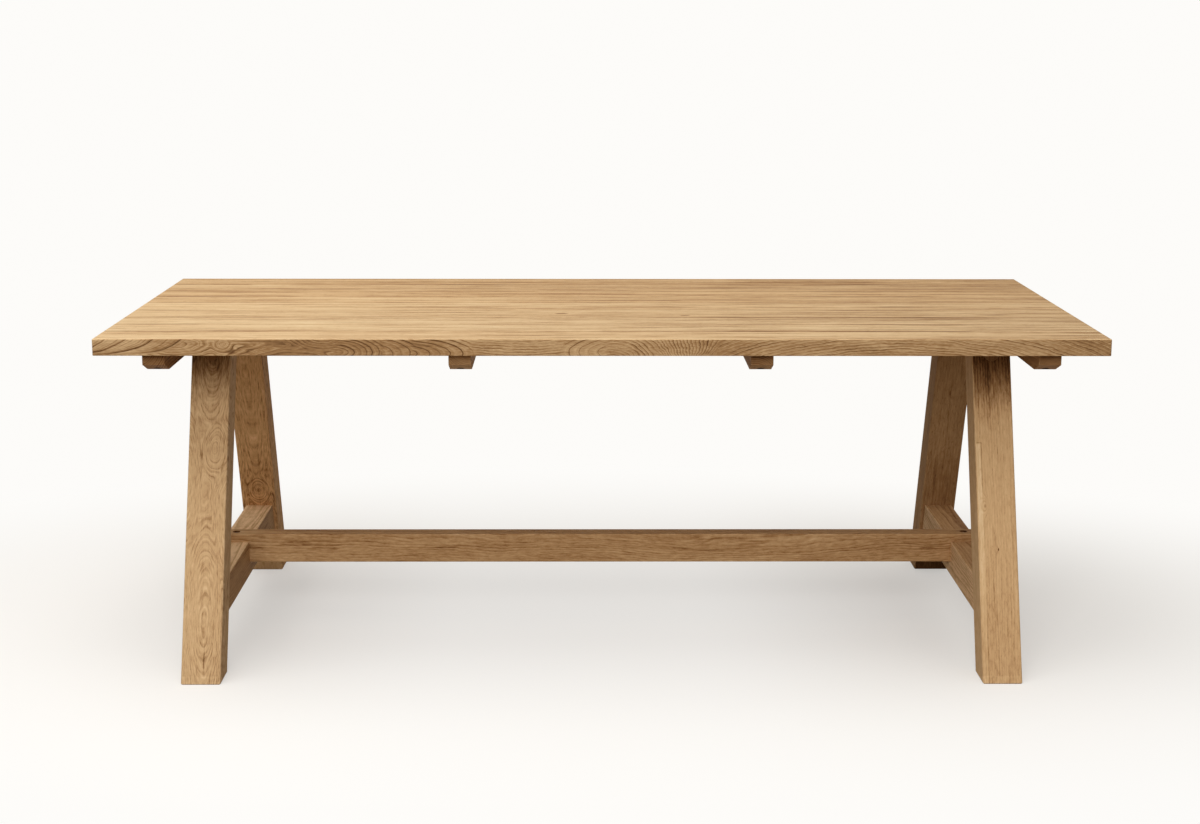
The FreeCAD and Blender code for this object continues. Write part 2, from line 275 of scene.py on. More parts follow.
def makeWoodGrain(values):
    inputs = ("Place", "Reach", "Seed", "Pitch", "Swirl", "SwirlSize", "Bulge", "Shortness", "Weakest")
    outputs = ("Tone", "Streaks", "Flecks", "Dark", "Pale", "Strands", "Fibres", "Pores", "Height")
    tree, given, out = newGroup("woodGrain", inputs, outputs)
    seeded = seededPlace(given)
    axes = axesOf(seeded)
    along = times(axes["X"], given["Shortness"])
    place = vectorOf(along, axes["Y"], axes["Z"])
    swirl = times(minus(noise(seeded, given["SwirlSize"], *values["swirl"]), 0.5), given["Swirl"])
    field = plus(over(given["Reach"], given["Pitch"]), swirl, given["Bulge"])
    rings = linesOf(field, given["Seed"], given["Weakest"])
    streaks, longStreaks = noise(place, *values["streaks"]), noise(place, *values["longStreaks"])
    pores = ease(noise(place, *values["pores"]), *values["poreEdges"])
    patterns = {
        "Tone": noise(place, *values["tone"]),
        "Streaks": weigh(values["longShare"], streaks, longStreaks),
        "Flecks": ease(noise(place, *values["flecks"]), *values["fleckEdges"]),
        "Dark": rings["Dark"],
        "Pale": rings["Pale"],
        "Strands": noise(vectorOf(along, field, given["Seed"]), *values["strands"]),
        "Fibres": noise(place, *values["fibres"]),
        "Pores": times(pores, weigh(rings["Pale"], values["poresInDark"], 1.0)),
    }
    patterns["Height"] = plus(*[times(patterns[name], share) for name, share in values["height"].items()])
    for name, pattern in patterns.items():
        wire(out[name], pattern)
    return tree


woodGrain = makeWoodGrain(grainValues)


# Edge wear: 1 along the arrises of a block of these half sizes about its own centre

wearValues = {
    "reach": 0.004,
    "patches": 60.0,
    "patchEdges": (0.3, 0.6),
}


def makeEdgeWear(values):
    tree, given, out = newGroup("edgeWear", ("Place", "Half"), ("Wear",))
    beyond = minus(calc("ABSOLUTE", given["Place"]), given["Half"])
    x, y, z = [ease(axis, -values["reach"], 0.0) for axis in axesOf(beyond)]
    xy, yz, xz = [calc("MINIMUM", *pair) for pair in ((x, y), (y, z), (x, z))]
    worn = calc("MAXIMUM", calc("MAXIMUM", xy, yz), xz)
    wire(out["Wear"], times(worn, ease(noise(given["Place"], values["patches"]), *values["patchEdges"])))
    return tree


edgeWear = makeEdgeWear(wearValues)


# A mark laid on a face: a long soft dash, or a knot that also bends the rings

dashValues = {
    "wobbleSize": (9.0, 30.0, 30.0),
    "wobble": (0.02, 0.006, 0.006),
    "edge": (0.15, 1.0),
    "ragged": (14.0, 160.0, 160.0),
    "raggedEdges": (0.3, 0.62),
    "deep": 0.05,
}
knotValues = {
    "stretch": (0.45, 1.0, 1.0),
    "bend": -0.12,
    "core": (0.5, 1.1),
}


def makeDash(values):
    tree, given, out = newGroup("dash", ("Place", "Centre", "Extent"), ("Mask",))
    bent = times(wobble(given["Place"], values["wobbleSize"]), values["wobble"])
    away = plus(minus(given["Place"], given["Centre"]), bent)
    soft = ease(calc("LENGTH", over(away, given["Extent"])), *values["edge"], 1.0, 0.0)
    ragged = noise(given["Place"], values["ragged"], 3.0, 0.6)
    wire(out["Mask"], times(soft, ease(ragged, *values["raggedEdges"])))
    return tree


def makeKnot(values):
    tree, given, out = newGroup("knot", ("Place", "Centre", "Size"), ("Bulge", "Core"))
    away = times(minus(given["Place"], given["Centre"]), values["stretch"])
    radius = over(calc("LENGTH", away), given["Size"])
    wire(out["Bulge"], calc("EXPONENT", times(radius, radius, values["bend"])))
    wire(out["Core"], ease(radius, *values["core"], 1.0, 0.0))
    return tree


dash = makeDash(dashValues)
knot = makeKnot(knotValues)


# Wood finishes: what each pattern adds to a lightness of 0 to 1, and the colours it runs
# through from darkest to palest

plainFinish = {"roughness": (0.62, 0.80), "bump": 0.35, "shine": 0.07}
finishes = {
    "top_wood": {
        "colours": ((96, 62, 34), (158, 118, 76), (207, 172, 128), (222, 194, 151), (236, 214, 178)),
        "strands": 0.10, "tone": 0.22, "streaks": 1.14, "flecks": -0.22, "dark": -0.15, "pale": 0.06,
        "fibres": 0.44, "pores": -0.30, "wear": 0.04, "roughness": (0.60, 0.78), "bump": 0.30,
    },
    "leg_wood": {
        "colours": ((84, 53, 28), (150, 110, 70), (196, 158, 115), (213, 178, 134), (228, 198, 157)),
        "strands": 0.42, "tone": 0.26, "streaks": 0.34, "flecks": -0.10, "dark": -0.20, "pale": 0.10,
        "fibres": 0.34, "pores": -0.26, "wear": 0.14,
    },
    "rail_wood": {
        "colours": ((76, 46, 24), (134, 95, 58), (174, 134, 92), (198, 160, 117), (216, 182, 140)),
        "strands": 0.34, "tone": 0.34, "streaks": 0.72, "flecks": -0.20, "dark": -0.26, "pale": 0.10,
        "fibres": 0.34, "pores": -0.26, "wear": 0.16,
    },
    "batten_wood": {
        "colours": ((70, 42, 22), (124, 86, 52), (162, 122, 82), (188, 150, 108), (208, 174, 132)),
        "strands": 0.30, "tone": 0.30, "streaks": 0.46, "flecks": -0.12, "dark": -0.24, "pale": 0.08,
        "fibres": 0.28, "pores": -0.24, "wear": 0.12,
    },
    "plug_wood": {
        "colours": ((60, 36, 19), (110, 74, 43), (146, 106, 68), (172, 134, 94), (196, 160, 118)),
        "strands": 0.30, "tone": 0.30, "streaks": 0.40, "flecks": -0.10, "dark": -0.24, "pale": 0.08,
        "fibres": 0.28, "pores": -0.24, "wear": 0.0,
    },
}
endFinish = {  # where the grain ends: rings, with no streaks
    "strands": 0.16, "tone": 0.30, "streaks": 0.0, "flecks": 0.0, "dark": -0.34, "pale": 0.12,
    "fibres": 0.20, "pores": -0.22,
}
averages = {
    "Tone": 0.5, "Streaks": 0.5, "Flecks": 0.05, "Dark": 0.0, "Pale": 0.0, "Strands": 0.5,
    "Fibres": 0.5, "Pores": 0.0,
}


def makeWoodTone():
    shares = [name + "Share" for name in averages]
    tree, given, out = newGroup("woodTone", ("Lightness", *averages, *shares), ("Value",))
    changes = [minus(given[name], average) for name, average in averages.items()]
    changes = [times(change, given[share]) for change, share in zip(changes, shares)]
    wire(out["Value"], plus(given["Lightness"], *changes))
    return tree


woodTone = makeWoodTone()


def toned(grain, finish, lightness):
    patterns = {name: grain[name] for name in averages}
    shares = {name + "Share": finish[name.lower()] for name in averages}
    return useGroup(woodTone, Lightness=lightness, **patterns, **shares)["Value"]


def tinted(colours, cool):  # the same colours with a little more blue and green, or less
    return [(red, green + 0.6 * cool, blue + cool) for red, green, blue in colours]


def colourRamp(value, colours):  # evenly spaced from 0 to 1
    ramp = addNode("ValToRGB", {0: value})
    stops, last = ramp.color_ramp.elements, len(colours) - 1
    for index in range(1, last):
        stops.new(index / last)
    for stop, colour in zip(stops, colours):
        stop.color = paint(*colour)
    return ramp.outputs[0]


def startMaterial(name):
    material = bpy.data.materials.new(name)
    material.use_nodes = True
    material.node_tree.nodes.clear()
    return material, addNode("TexCoord", tree=material.node_tree).outputs


def closeMaterial(wires, height, bump, distance=0.0006):
    shader = addNode("BsdfPrincipled", wires)
    bumped = addNode("Bump", {"Height": height, "Strength": bump, "Distance": distance})
    wire(shader.inputs["Normal"], bumped.outputs[0])
    addNode("OutputMaterial", {"Surface": shader.outputs[0]})
    return shader


# Where a face looks, or a hole lies, and what the wood does there

placeValues = {
    "grainEnds": (0.55, 0.80),
    "recessDepth": 0.55,
    "recessEdge": (0.0006, 0.0001),
    "forward": (-0.60, -0.85),
    "up": (0.70, 0.95),
}


def makeGrainEnds(values):  # 1 on the faces that the piece's own X passes through
    tree, given, out = newGroup("grainEnds", ("Normal", "Turn"), ("Share",))
    along = axesOf(turnedBack(given["Normal"], given["Turn"]))["X"]
    wire(out["Share"], ease(calc("ABSOLUTE", along), *values["grainEnds"]))
    return tree


def makePaintedRecessShade(values):  # paints shade on the walls of an upright hole, given as its X, Y and radius
    tree, given, out = newGroup("paintedRecessShade", ("Place", "Hole"), ("Shade",))
    hole = axesOf(given["Hole"])
    flat = times(given["Place"], (1.0, 1.0, 0.0))
    away = calc("LENGTH", minus(flat, vectorOf(hole["X"], hole["Y"], 0.0)))
    wire(out["Shade"], ease(minus(away, hole["Z"]), *values["recessEdge"], 0.0, values["recessDepth"]))
    return tree


def makePaintedShade(values):  # painted shade on a face that looks forward, from one height to another; a negative depth paints light there
    tree, given, out = newGroup("paintedShade", ("Place", "Normal", "Start", "End", "Depth"), ("Shade",))
    forward = ease(axesOf(given["Normal"])["Y"], *values["forward"])
    high = ease(axesOf(given["Place"])["Z"], given["Start"], given["End"])
    wire(out["Shade"], times(forward, high, given["Depth"]))
    return tree


def makePaintedTopShade(values):  # painted shade on a face that looks up; a negative depth paints light there
    tree, given, out = newGroup("paintedTopShade", ("Normal", "Depth"), ("Shade",))
    wire(out["Shade"], times(ease(axesOf(given["Normal"])["Z"], *values["up"]), given["Depth"]))
    return tree


def makeHeartReach():
    tree, given, out = newGroup("heartReach", ("Place", "Centre", "Weights", "Start"), ("Reach",))
    away = times(minus(given["Place"], given["Centre"]), given["Weights"])
    wire(out["Reach"], plus(calc("LENGTH", away), given["Start"]))
    return tree


grainEnds = makeGrainEnds(placeValues)
paintedRecessShade = makePaintedRecessShade(placeValues)
paintedShade = makePaintedShade(placeValues)
paintedTopShade = makePaintedTopShade(placeValues)
heartReach = makeHeartReach()


def reachFrom(place, centre, weights, start=0.0):
    return useGroup(heartReach, Place=place, Centre=centre, Weights=weights, Start=start)["Reach"]


def nearestHeart(place, hearts, weights, seam):  # distance in metres from the nearest of the hearts
    nearest = 1.0
    for *centre, start, drawn in hearts:
        reach = reachFrom(place, centre, (weights[0] / drawn, *weights[1:]), start)
        nearest = calc("SMOOTH_MIN", nearest, reach, seam)
    return nearest


plainPiece = {  # what a piece has where its own values say nothing else
    "turn": (0.0, 0.0, 0.0),
    "lightness": 0.5,
    "endLightness": -0.09,
    "drift": 0.02,
    "pitch": 0.005,
    "swirl": 0.0,
    "swirlSize": (4.0, 12.0, 12.0),
    "shortness": 1.0,
    "weakest": 0.12,
    "hearts": (),
    "heartWeights": (1.0, 0.6, 1.0),
    "heartSeam": 0.012,
    "heartStart": 0.2,
    "knots": (),
    "dashes": (),
    "upright": False,
    "holes": (),
    "paintedShades": (),
    "topShade": 0.0,
    "finish": {},
}


grainNames = ("seed", "pitch", "swirl", "swirlSize", "shortness", "weakest")


def ringReach(place, piece):
    if piece["hearts"]:
        nearest = nearestHeart(place, piece["hearts"], piece["heartWeights"], piece["heartSeam"])
        return plus(nearest, piece["heartStart"])
    return reachFrom(place, (0.0, *piece["heart"]), (0.0, 1.0, 1.0))


def makeWood(name, finish, piece, special=None):
    material, coordinates = startMaterial(name)
    piece = {**plainPiece, **piece}
    finish = {**plainFinish, **finish, **piece["finish"]}
    place, normal = coordinates["Object"], coordinates["Normal"]
    local = turnedBack(place, piece["turn"], piece["centre"])
    lightness, bulge = piece["lightness"], 0.0
    for *centre, size, bend, depth in piece["knots"]:
        made = useGroup(knot, Place=local, Centre=centre, Size=size)
        bulge = plus(bulge, times(made["Bulge"], bend))
        lightness = minus(lightness, times(made["Core"], depth))
    for *centre, long, wide, depth in piece["dashes"]:
        reach = (long, dashValues["deep"], wide) if piece["upright"] else (long, wide, dashValues["deep"])
        mask = useGroup(dash, Place=local, Centre=centre, Extent=reach)["Mask"]
        lightness = minus(lightness, times(mask, depth))
    bent = useGroup(wander, Place=local, Seed=piece["seed"], Drift=piece["drift"])["Place"]
    own = {name[0].upper() + name[1:]: piece[name] for name in grainNames}
    grain = useGroup(woodGrain, Place=bent, Reach=ringReach(bent, piece), Bulge=bulge, **own)
    atEnds = useGroup(grainEnds, Normal=normal, Turn=piece["turn"])["Share"]
    ends = plus(toned(grain, endFinish, lightness), piece["endLightness"])
    value = weigh(atEnds, toned(grain, finish, lightness), ends)
    # Painted shade in the holes, on faces that look forward between two heights and on faces that look up; a
    # negative depth paints light instead
    paintedShades = [useGroup(paintedRecessShade, Place=place, Hole=hole) for hole in piece["holes"]]
    for start, end, depth in piece["paintedShades"]:
        paintedShades.append(useGroup(paintedShade, Place=place, Normal=normal, Start=start, End=end, Depth=depth))
    if piece["topShade"]:
        paintedShades.append(useGroup(paintedTopShade, Normal=normal, Depth=piece["topShade"]))
    for shade in paintedShades:
        value = minus(value, shade["Shade"])
    worn = useGroup(edgeWear, Place=local, Half=piece["half"])["Wear"]
    value = plus(value, times(worn, finish["wear"]))
    if special:
        value = special(coordinates, local, value)
    closeMaterial({
        "Base Color": colourRamp(value, finish["colours"]),
        "Roughness": weigh(grain["Streaks"], *finish["roughness"]),
        "Specular IOR Level": finish["shine"],
    }, grain["Height"], finish["bump"])
    return material


def dress(node, *looks):  # its finish, its own values and what else is done to its value
    first, *others = node.split("_")
    name = first + "".join(word.title() for word in others)
    nodes[node].data.materials.clear()
    nodes[node].data.materials.append(makeWood(name, *looks))


# Boards of the top, front to back: lightness, heart of the log below or above, rings.
# Dashes have their X and Y, half length, half width and depth, and knots their X and Y,
# size, how far they bend the rings, and depth.

boardValues = {
    "half": (1.1, 0.0185),  # of their length and thickness
    "middle": 0.7565,
    "seams": (-0.500, -0.395, -0.289, -0.183, -0.071, 0.053, 0.156, 0.258, 0.379, 0.500),
    "lightness": (0.48, 0.49, 0.475, 0.49, 0.53, 0.48, 0.45, 0.45, 0.44),
    "hearts": (
        (0.03, -0.09), (-0.05, -0.06), (0.02, -0.12), (0.06, -0.05), (-0.01, -0.10),
        (0.04, 0.08), (-0.04, -0.07), (0.05, -0.05), (0.0, -0.11),
    ),
    "pitches": (0.0048, 0.0042, 0.0055, 0.0040, 0.0052, 0.0046, 0.0050, 0.0043, 0.0056),
    "coolness": (6, 8, 8, 6, 4, 2, 1, 2, 1),
    "drift": 0.007,
    "seeds": (1.7, 3.1),  # the first, and the step to the next
    "paleness": -0.050,
    "seamEdges": (0.0004, 0.0062),
    "seamDepth": 0.40,
    "seamDirt": (2.4, 1.0, 1.0),
    "seamDirtEdges": (0.38, 0.66, 0.12, 1.0),
    "unworn": 9.0,
    "dashes": {
        1: ((-0.25, -0.3425, 0.40, 0.004, 0.22), (0.45, -0.38, 0.22, 0.010, 0.12)),
        2: ((-0.40, -0.27, 0.30, 0.004, 0.20), (-0.02, -0.345, 0.45, 0.004, 0.22)),
        3: ((0.42, -0.19, 0.55, 0.005, 0.22), (-0.15, -0.265, 0.16, 0.010, 0.20)),
        4: ((0.92, -0.145, 0.07, 0.012, 0.40), (-0.72, -0.12, 0.20, 0.006, 0.20)),
        5: ((0.714, -0.017, 0.10, 0.007, 0.30), (-0.3, -0.05, 0.4, 0.008, 0.14)),
        6: ((0.135, 0.095, 0.12, 0.007, 0.42), (-0.75, 0.10, 0.25, 0.007, 0.22)),
        7: ((0.55, 0.20, 0.25, 0.012, 0.22), (-0.10, 0.21, 0.22, 0.009, 0.20)),
        8: ((0.513, 0.246, 0.14, 0.012, 0.46), (-0.60, 0.30, 0.25, 0.009, 0.20)),
        9: (
            (-0.355, 0.380, 0.13, 0.014, 0.40), (0.55, 0.43, 0.35, 0.020, 0.25), (-0.8, 0.44, 0.2, 0.012, 0.16),
        ),
    },
    "knots": {
        1: (
            (0.340, -0.3525, 0.006, 3.0, 0.35), (1.0506, -0.3416, 0.005, 2.0, 0.45),
            (-0.5077, -0.3566, 0.005, 2.0, 0.35),
        ),
        4: ((-0.0934, -0.1269, 0.008, 4.0, 0.35), (0.194, -0.1559, 0.006, 3.0, 0.30)),
    },
}


# Front edge of the top, laid out along it. Each heart has its X, Y and Z, a head
# start over its neighbours, and how far it is drawn out along the edge. Bold strokes sweep
# up through the left end, nests of even lines lie left of the middle, and a fan of lines
# spreads right of it. Nests, the fan and the lighter or browner zones fade in from their
# first X to their second, and out from their third to their fourth.

edgeValues = {
    "hearts": (
        (-1.120, 0.0, 0.860, -0.085, 1.1),
        (-0.915, 0.0, 0.764, -0.006, 3.0),
        (-0.819, 0.0, 0.762, 0.002, 1.4),
        (-0.730, 0.0, 0.900, -0.120, 2.8),
        (-0.670, 0.0, 0.722, -0.030, 3.0),
        (-0.600, 0.0, 0.800, -0.052, 1.5),
        (-0.420, 0.0, 0.700, -0.055, 1.5),
        (-0.180, 0.0, 0.880, -0.110, 2.4),
        (0.020, 0.0, 0.722, -0.030, 1.6),
        (0.640, 0.0, 0.600, -0.135, 2.6),
    ),
    "heartStart": 1.0,
    "seam": 0.010,
    "pitch": 0.0060,
    "wobble": 0.024,
    "wobbleSize": (13.0, 13.0, 40.0),
    "freely": (1.0, 1.0, 0.6),
    "gently": (0.50, 0.0, 0.25),
    "thick": 0.037,
    "strokeTops": ((-1.0693, 0.28), (-1.0270, 0.36), (-0.9670, 0.42), (-0.9050, 0.26)),
    "strokeFlare": 0.045,
    "strokeLine": (-0.0011, 0.0001, 0.0003, 0.0046),
    "strokeHaze": (0.0, 0.0030, 0.0030, 0.0140),
    "strokeHazeDepth": 0.05,
    "strokeFoot": (0.06, 0.26, 0.25, 1.0),
    "strokesEnd": (-0.895, -0.885),
    "strokeLines": 0.0098,
    "strokeLinesStart": 2.0,
    "lowest": 0.03,
    "nests": (  # their four X, heart, how far it is drawn out, gap between lines and depth
        (-0.590, -0.555, -0.487, -0.470, (-0.578, 0.0, 0.746), 2.6, 0.0050, -0.30),
        (-0.487, -0.470, -0.418, -0.404, (-0.520, 0.0, 0.744), 3.0, 0.0066, -0.40),
        (-0.418, -0.404, -0.310, -0.270, (-0.450, 0.0, 0.743), 4.0, 0.0058, -0.42),
        (-0.095, -0.060, -0.010, 0.025, (0.060, 0.0, 0.746), 3.2, 0.0066, -0.34),
    ),
    "nestLine": (0.75, -0.0024, 0.0007),
    "nestWeakest": 0.35,
    "uneven": 0.9,
    "unevenSize": 120.0,
    "fanPlace": (0.187, 0.690),
    "fanGap": 0.105,
    "fanEdges": (0.105, 0.135, 0.225, 0.265),
    "zones": (  # their four X and what they add
        (-1.20, -1.15, -1.00, -0.95, 0.085),
        (-0.82, -0.70, -0.37, -0.29, -0.110),
        (-0.27, -0.21, -0.12, -0.06, 0.045),
        (0.17, 0.23, 0.30, 0.36, -0.065),
        (0.94, 1.00, 1.20, 1.25, -0.050),
    ),
    "rings": (3.0, 0.12),  # seed and weakest ring, here and in the next three
    "between": (5.0, 0.12),
    "thin": (6.0, 0.12),
    "fanLines": (11.0, 0.3),
    "thinPerRing": 2.3,
    "patches": (16.0, 16.0, 60.0),
    "patchEdges": (0.34, 0.62, 0.25, 1.0),
    "fineSize": (70.0, 70.0, 460.0),
    "broadSize": (8.0, 8.0, 60.0),
    "lightness": 0.350,
    "dark": -0.30,
    "fan": -0.28,
    "thinLines": -0.15,
    "betweenLines": -0.225,
    "pale": 0.07,
    "fine": 0.42,
    "broad": 0.30,
    "upwardShare": 0.4,
    "facing": (-0.44, -0.72),
}


def nestLines(place, centre, drawn, gap):  # lines of one thickness about a heart drawn out along X
    values = edgeValues
    away = axesOf(minus(place, centre))
    across = over(away["X"], drawn)
    reach, steep = [calc("LENGTH", vectorOf(x, 0.0, away["Z"])) for x in (across, over(across, drawn))]
    uneven = noise(times((1.0, 0.0, 0.0), reach), values["unevenSize"], 1.0)
    field = plus(over(reach, gap), times(uneven, values["uneven"]))
    part = calc("FRACT", field)
    middle, start, end = values["nestLine"]
    scale = over(times(reach, gap), calc("MAXIMUM", steep, 0.0001))
    line = within(times(minus(part, middle), scale), start, 0.0, 0.0, end)
    dark = times(line, weigh(chanceOf(calc("FLOOR", field)), values["nestWeakest"], 1.0))
    return dark, ease(part, 0.0, ringValues["paleEnd"], 1.0, 0.0)


def sweptStrokes(share, x):  # strokes that rise steeply and flare out along X
    values = edgeValues
    strokes = 0.0
    for top, depth in values["strokeTops"]:
        line = calc("EXPONENT", over(minus(x, top), values["strokeFlare"]))
        above = times(minus(share, line), values["thick"])
        core = times(within(above, *values["strokeLine"]), depth)
        haze = times(within(above, *values["strokeHaze"]), values["strokeHazeDepth"])
        strokes = plus(strokes, core, haze)
    return times(strokes, ease(share, *values["strokeFoot"]))


def edgeRings(coordinates, value):
    values = edgeValues
    place = coordinates["Object"]
    bend = times(wobble(place, values["wobbleSize"], 3.0, 0.55), values["wobble"])
    bent = plus(place, times(bend, values["freely"]))
    gently = plus(place, times(bend, values["gently"]))
    axes, gentle = axesOf(bent), axesOf(gently)

    nearest = nearestHeart(bent, values["hearts"], (1.0, 0.0, 1.0), values["seam"])
    field = over(plus(nearest, values["heartStart"]), values["pitch"])
    rings = linesOf(field, *values["rings"])
    thin = linesOf(times(field, values["thinPerRing"]), *values["thin"])

    share = calc("DIVIDE", minus(gentle["Z"], tableValues["undersideOfTop"]), values["thick"], clamp=True)
    low = calc("LOGARITHM", calc("MAXIMUM", share, values["lowest"]), math.e)
    across = minus(gentle["X"], times(low, values["strokeFlare"]))
    atStrokes = ease(across, *values["strokesEnd"], 1.0, 0.0)
    between = linesOf(over(plus(across, values["strokeLinesStart"]), values["strokeLines"]), *values["between"])

    fanX, fanZ = values["fanPlace"]
    spread = over(minus(axes["X"], fanX), minus(axes["Z"], fanZ))
    fan = linesOf(over(spread, values["fanGap"]), *values["fanLines"])
    atFan = within(axes["X"], *values["fanEdges"])

    taken = calc("MAXIMUM", atStrokes, atFan)
    parts = []
    for *edges, centre, drawn, gap, gain in values["nests"]:
        dark, pale = nestLines(gently, centre, drawn, gap)
        atNest = within(axes["X"], *edges)
        taken = calc("MAXIMUM", taken, atNest)
        parts += [(atNest, dark, gain), (atNest, pale, values["pale"])]
    elsewhere = minus(1.0, taken)
    patches = ease(noise(place, values["patches"]), *values["patchEdges"])
    parts += [
        (elsewhere, patches, rings["Dark"], values["dark"]),
        (elsewhere, rings["Pale"], values["pale"]),
        (elsewhere, thin["Dark"], values["thinLines"]),
        (atStrokes, sweptStrokes(share, gentle["X"]), -1.0),
        (atStrokes, between["Dark"], values["betweenLines"]),
        (atFan, fan["Dark"], values["fan"]),
        (atFan, fan["Pale"], values["pale"]),
        (minus(noise(bent, values["fineSize"], 3.0, 0.6), 0.5), values["fine"]),
        (minus(noise(place, values["broadSize"], 3.0, 0.6), 0.5), values["broad"]),
    ]
    parts += [(within(axes["X"], *edges), change) for *edges, change in values["zones"]]
    lightness = plus(values["lightness"], *[times(*part) for part in parts])
    facing = axesOf(coordinates["Normal"])
    forward = plus(facing["Y"], times(facing["Z"], values["upwardShare"]))
    return weigh(ease(forward, *values["facing"]), value, lightness)


def makeBoardSeam(values):  # a dark line that comes and goes along a seam
    tree, given, out = newGroup("boardSeam", ("Place", "Local", "Seam"), ("Shade",))
    gap = calc("ABSOLUTE", minus(axesOf(given["Place"])["Y"], given["Seam"]))
    line = ease(gap, *values["seamEdges"], values["seamDepth"], 0.0)
    dirt = noise(given["Local"], values["seamDirt"], 3.0, 0.6)
    wire(out["Shade"], times(line, ease(dirt, *values["seamDirtEdges"])))
    return tree


boardSeam = makeBoardSeam(boardValues)


def makeBoards(values):
    seams = values["seams"]
    count = len(seams) - 1
    long, thick = values["half"]
    for number in range(1, count + 1):
        index = number - 1
        front, back = seams[index], seams[number]
        centre = Vector((0.0, (front + back) / 2, values["middle"]))

        def placed(marks):
            face = tableValues["face"]
            return [(*(Vector((x, y, face)) - centre), *rest) for x, y, *rest in marks.get(number, ())]

        def withSeams(coordinates, local, value):
            place = coordinates["Object"]
            # paler towards the left: partly the wood's own tone, partly painted light falling off to the right
            value = plus(value, times(axesOf(place)["X"], values["paleness"]))
            for seam in [front] * (number > 1) + [back] * (number < count):
                shade = useGroup(boardSeam, Place=place, Local=local, Seam=seam)["Shade"]
                value = minus(value, shade)
            return edgeRings(coordinates, value) if number == 1 else value

        dress("top_board_%d" % number, finishes["top_wood"], {
            "centre": centre,
            "half": (long, (back - front) / 2 if number in (1, count) else values["unworn"], thick),
            "heart": values["hearts"][index],
            "pitch": values["pitches"][index],
            "drift": values["drift"],
            "seed": values["seeds"][0] + values["seeds"][1] * index,
            "lightness": values["lightness"][index],
            "finish": {"colours": tinted(finishes["top_wood"]["colours"], values["coolness"][index])},
            "dashes": placed(values["dashes"]),
            "knots": placed(values["knots"]),
        }, withSeams)


makeBoards(boardValues)
print("boards finished")


# Legs: each leans 21 degrees, its grain running up it. Hearts, knots and dashes are given in
# the table's frame and turned into the leg's own. Painted shades darken the face that looks
# forward from one height to another, for the shade under the top and at the feet, and a
# negative depth paints light there instead.

legValues = {
    "lean": 0.38612,
    "half": (0.3956, 0.042, 0.044),
    "footPlace": 0.515,
    "depth": 0.09004,
    "pieces": {
        "leg_front_left": {
            "seed": 4.2, "pitch": 0.0037, "drift": 0.014, "swirl": 5.0, "swirlSize": (9.0, 19.0, 19.0),
            "lightness": 0.55, "shortness": 1.7, "weakest": 0.35,
            "hearts": (
                (-0.886, -0.205, 0.800, 0.000, 7.0),
                (-0.872, -0.325, 0.492, 0.014, 2.2),
                (-0.935, -0.345, 0.440, 0.010, 5.0),
                (-0.840, -0.382, 0.335, 0.008, 5.0),
                (-0.887, -0.455, 0.125, -0.002, 5.5),
                (-0.884, -0.510, -0.080, 0.006, 9.0),
            ),
            "dashes": ((-0.8859, -0.4951, 0.0514, 0.060, 0.0022, 0.34),),
            "paintedShades": ((0.60, 0.71, 0.36),),
            "finish": {"strands": 0.90, "dark": -0.13, "colours": tinted(finishes["leg_wood"]["colours"], 5)},
        },
        "leg_front_right": {
            "seed": 9.6, "pitch": 0.0052, "drift": 0.010, "swirl": 2.6, "swirlSize": (3.0, 22.0, 22.0),
            "heart": (0.05, -0.16), "lightness": 0.64, "shortness": 2.2,
            "knots": (
                (0.8669, -0.3711, 0.3726, 0.0030, 3.5, 0.26),
                (0.8930, -0.4067, 0.2805, 0.0018, 1.0, 0.40),
            ),
            "dashes": (
                (0.8517, -0.4006, 0.2964, 0.030, 0.0025, 0.25),
                (0.8796, -0.4379, 0.1997, 0.040, 0.0025, 0.22),
            ),
            "paintedShades": ((0.52, 0.71, 0.58), (0.24, 0.06, 0.16)),
            "finish": {"strands": 0.50, "streaks": 0.55, "dark": -0.13},
        },
        "leg_back_left": {
            "seed": 14.9, "pitch": 0.0044, "drift": 0.012, "swirl": 1.8, "swirlSize": (6.0, 16.0, 16.0),
            "lightness": 0.52, "shortness": 1.7, "weakest": 0.20,
            "hearts": (
                (-0.890, 0.150, 0.720, 0.000, 14.0),
                (-0.889, 0.332, 0.241, 0.010, 1.4),
                (-0.940, 0.300, 0.330, 0.016, 9.0),
                (-0.840, 0.280, 0.360, 0.018, 9.0),
            ),
            "paintedShades": ((0.80, 0.76, -0.14), (0.14, 0.06, -0.48), (0.58, 0.71, 0.25), (0.40, 0.26, 0.20)),
            "finish": {
                "colours": ((84, 50, 24), (154, 109, 64), (206, 159, 109), (228, 182, 130), (246, 202, 150)),
                "strands": 1.40, "dark": -0.13,
            },
        },
        "leg_back_right": {
            "seed": 21.3, "pitch": 0.0055, "drift": 0.010, "swirl": 3.0, "swirlSize": (4.0, 18.0, 18.0),
            "heart": (0.07, 0.12), "lightness": 0.36, "shortness": 1.6,
            "knots": ((0.8889, 0.2243, 0.5198, 0.0040, 2.0, 0.12),),
            "paintedShades": ((0.14, 0.06, 0.28), (0.40, 0.26, 0.08)),
            "finish": {"strands": 0.24, "streaks": 0.14, "fibres": 0.20, "dark": -0.04, "pale": 0.03},
        },
    },
}


# Strip let into the front-right leg, down its inner arris and square at its top

stripValues = {
    "top": 0.5071,
    "fade": (0.13, 0.5071, 0.35, 1.0),
    "edge": 0.8615,
    "soft": (-0.0012, -0.001),
    "gain": 0.24,
    "gap": 0.0018,
    "dirt": 0.26,
    "dirtFade": (0.34, 0.46, 0.15, 1.0),
    "overrun": (0.003, 0.002),
    "facing": (-0.80, -0.90),
}


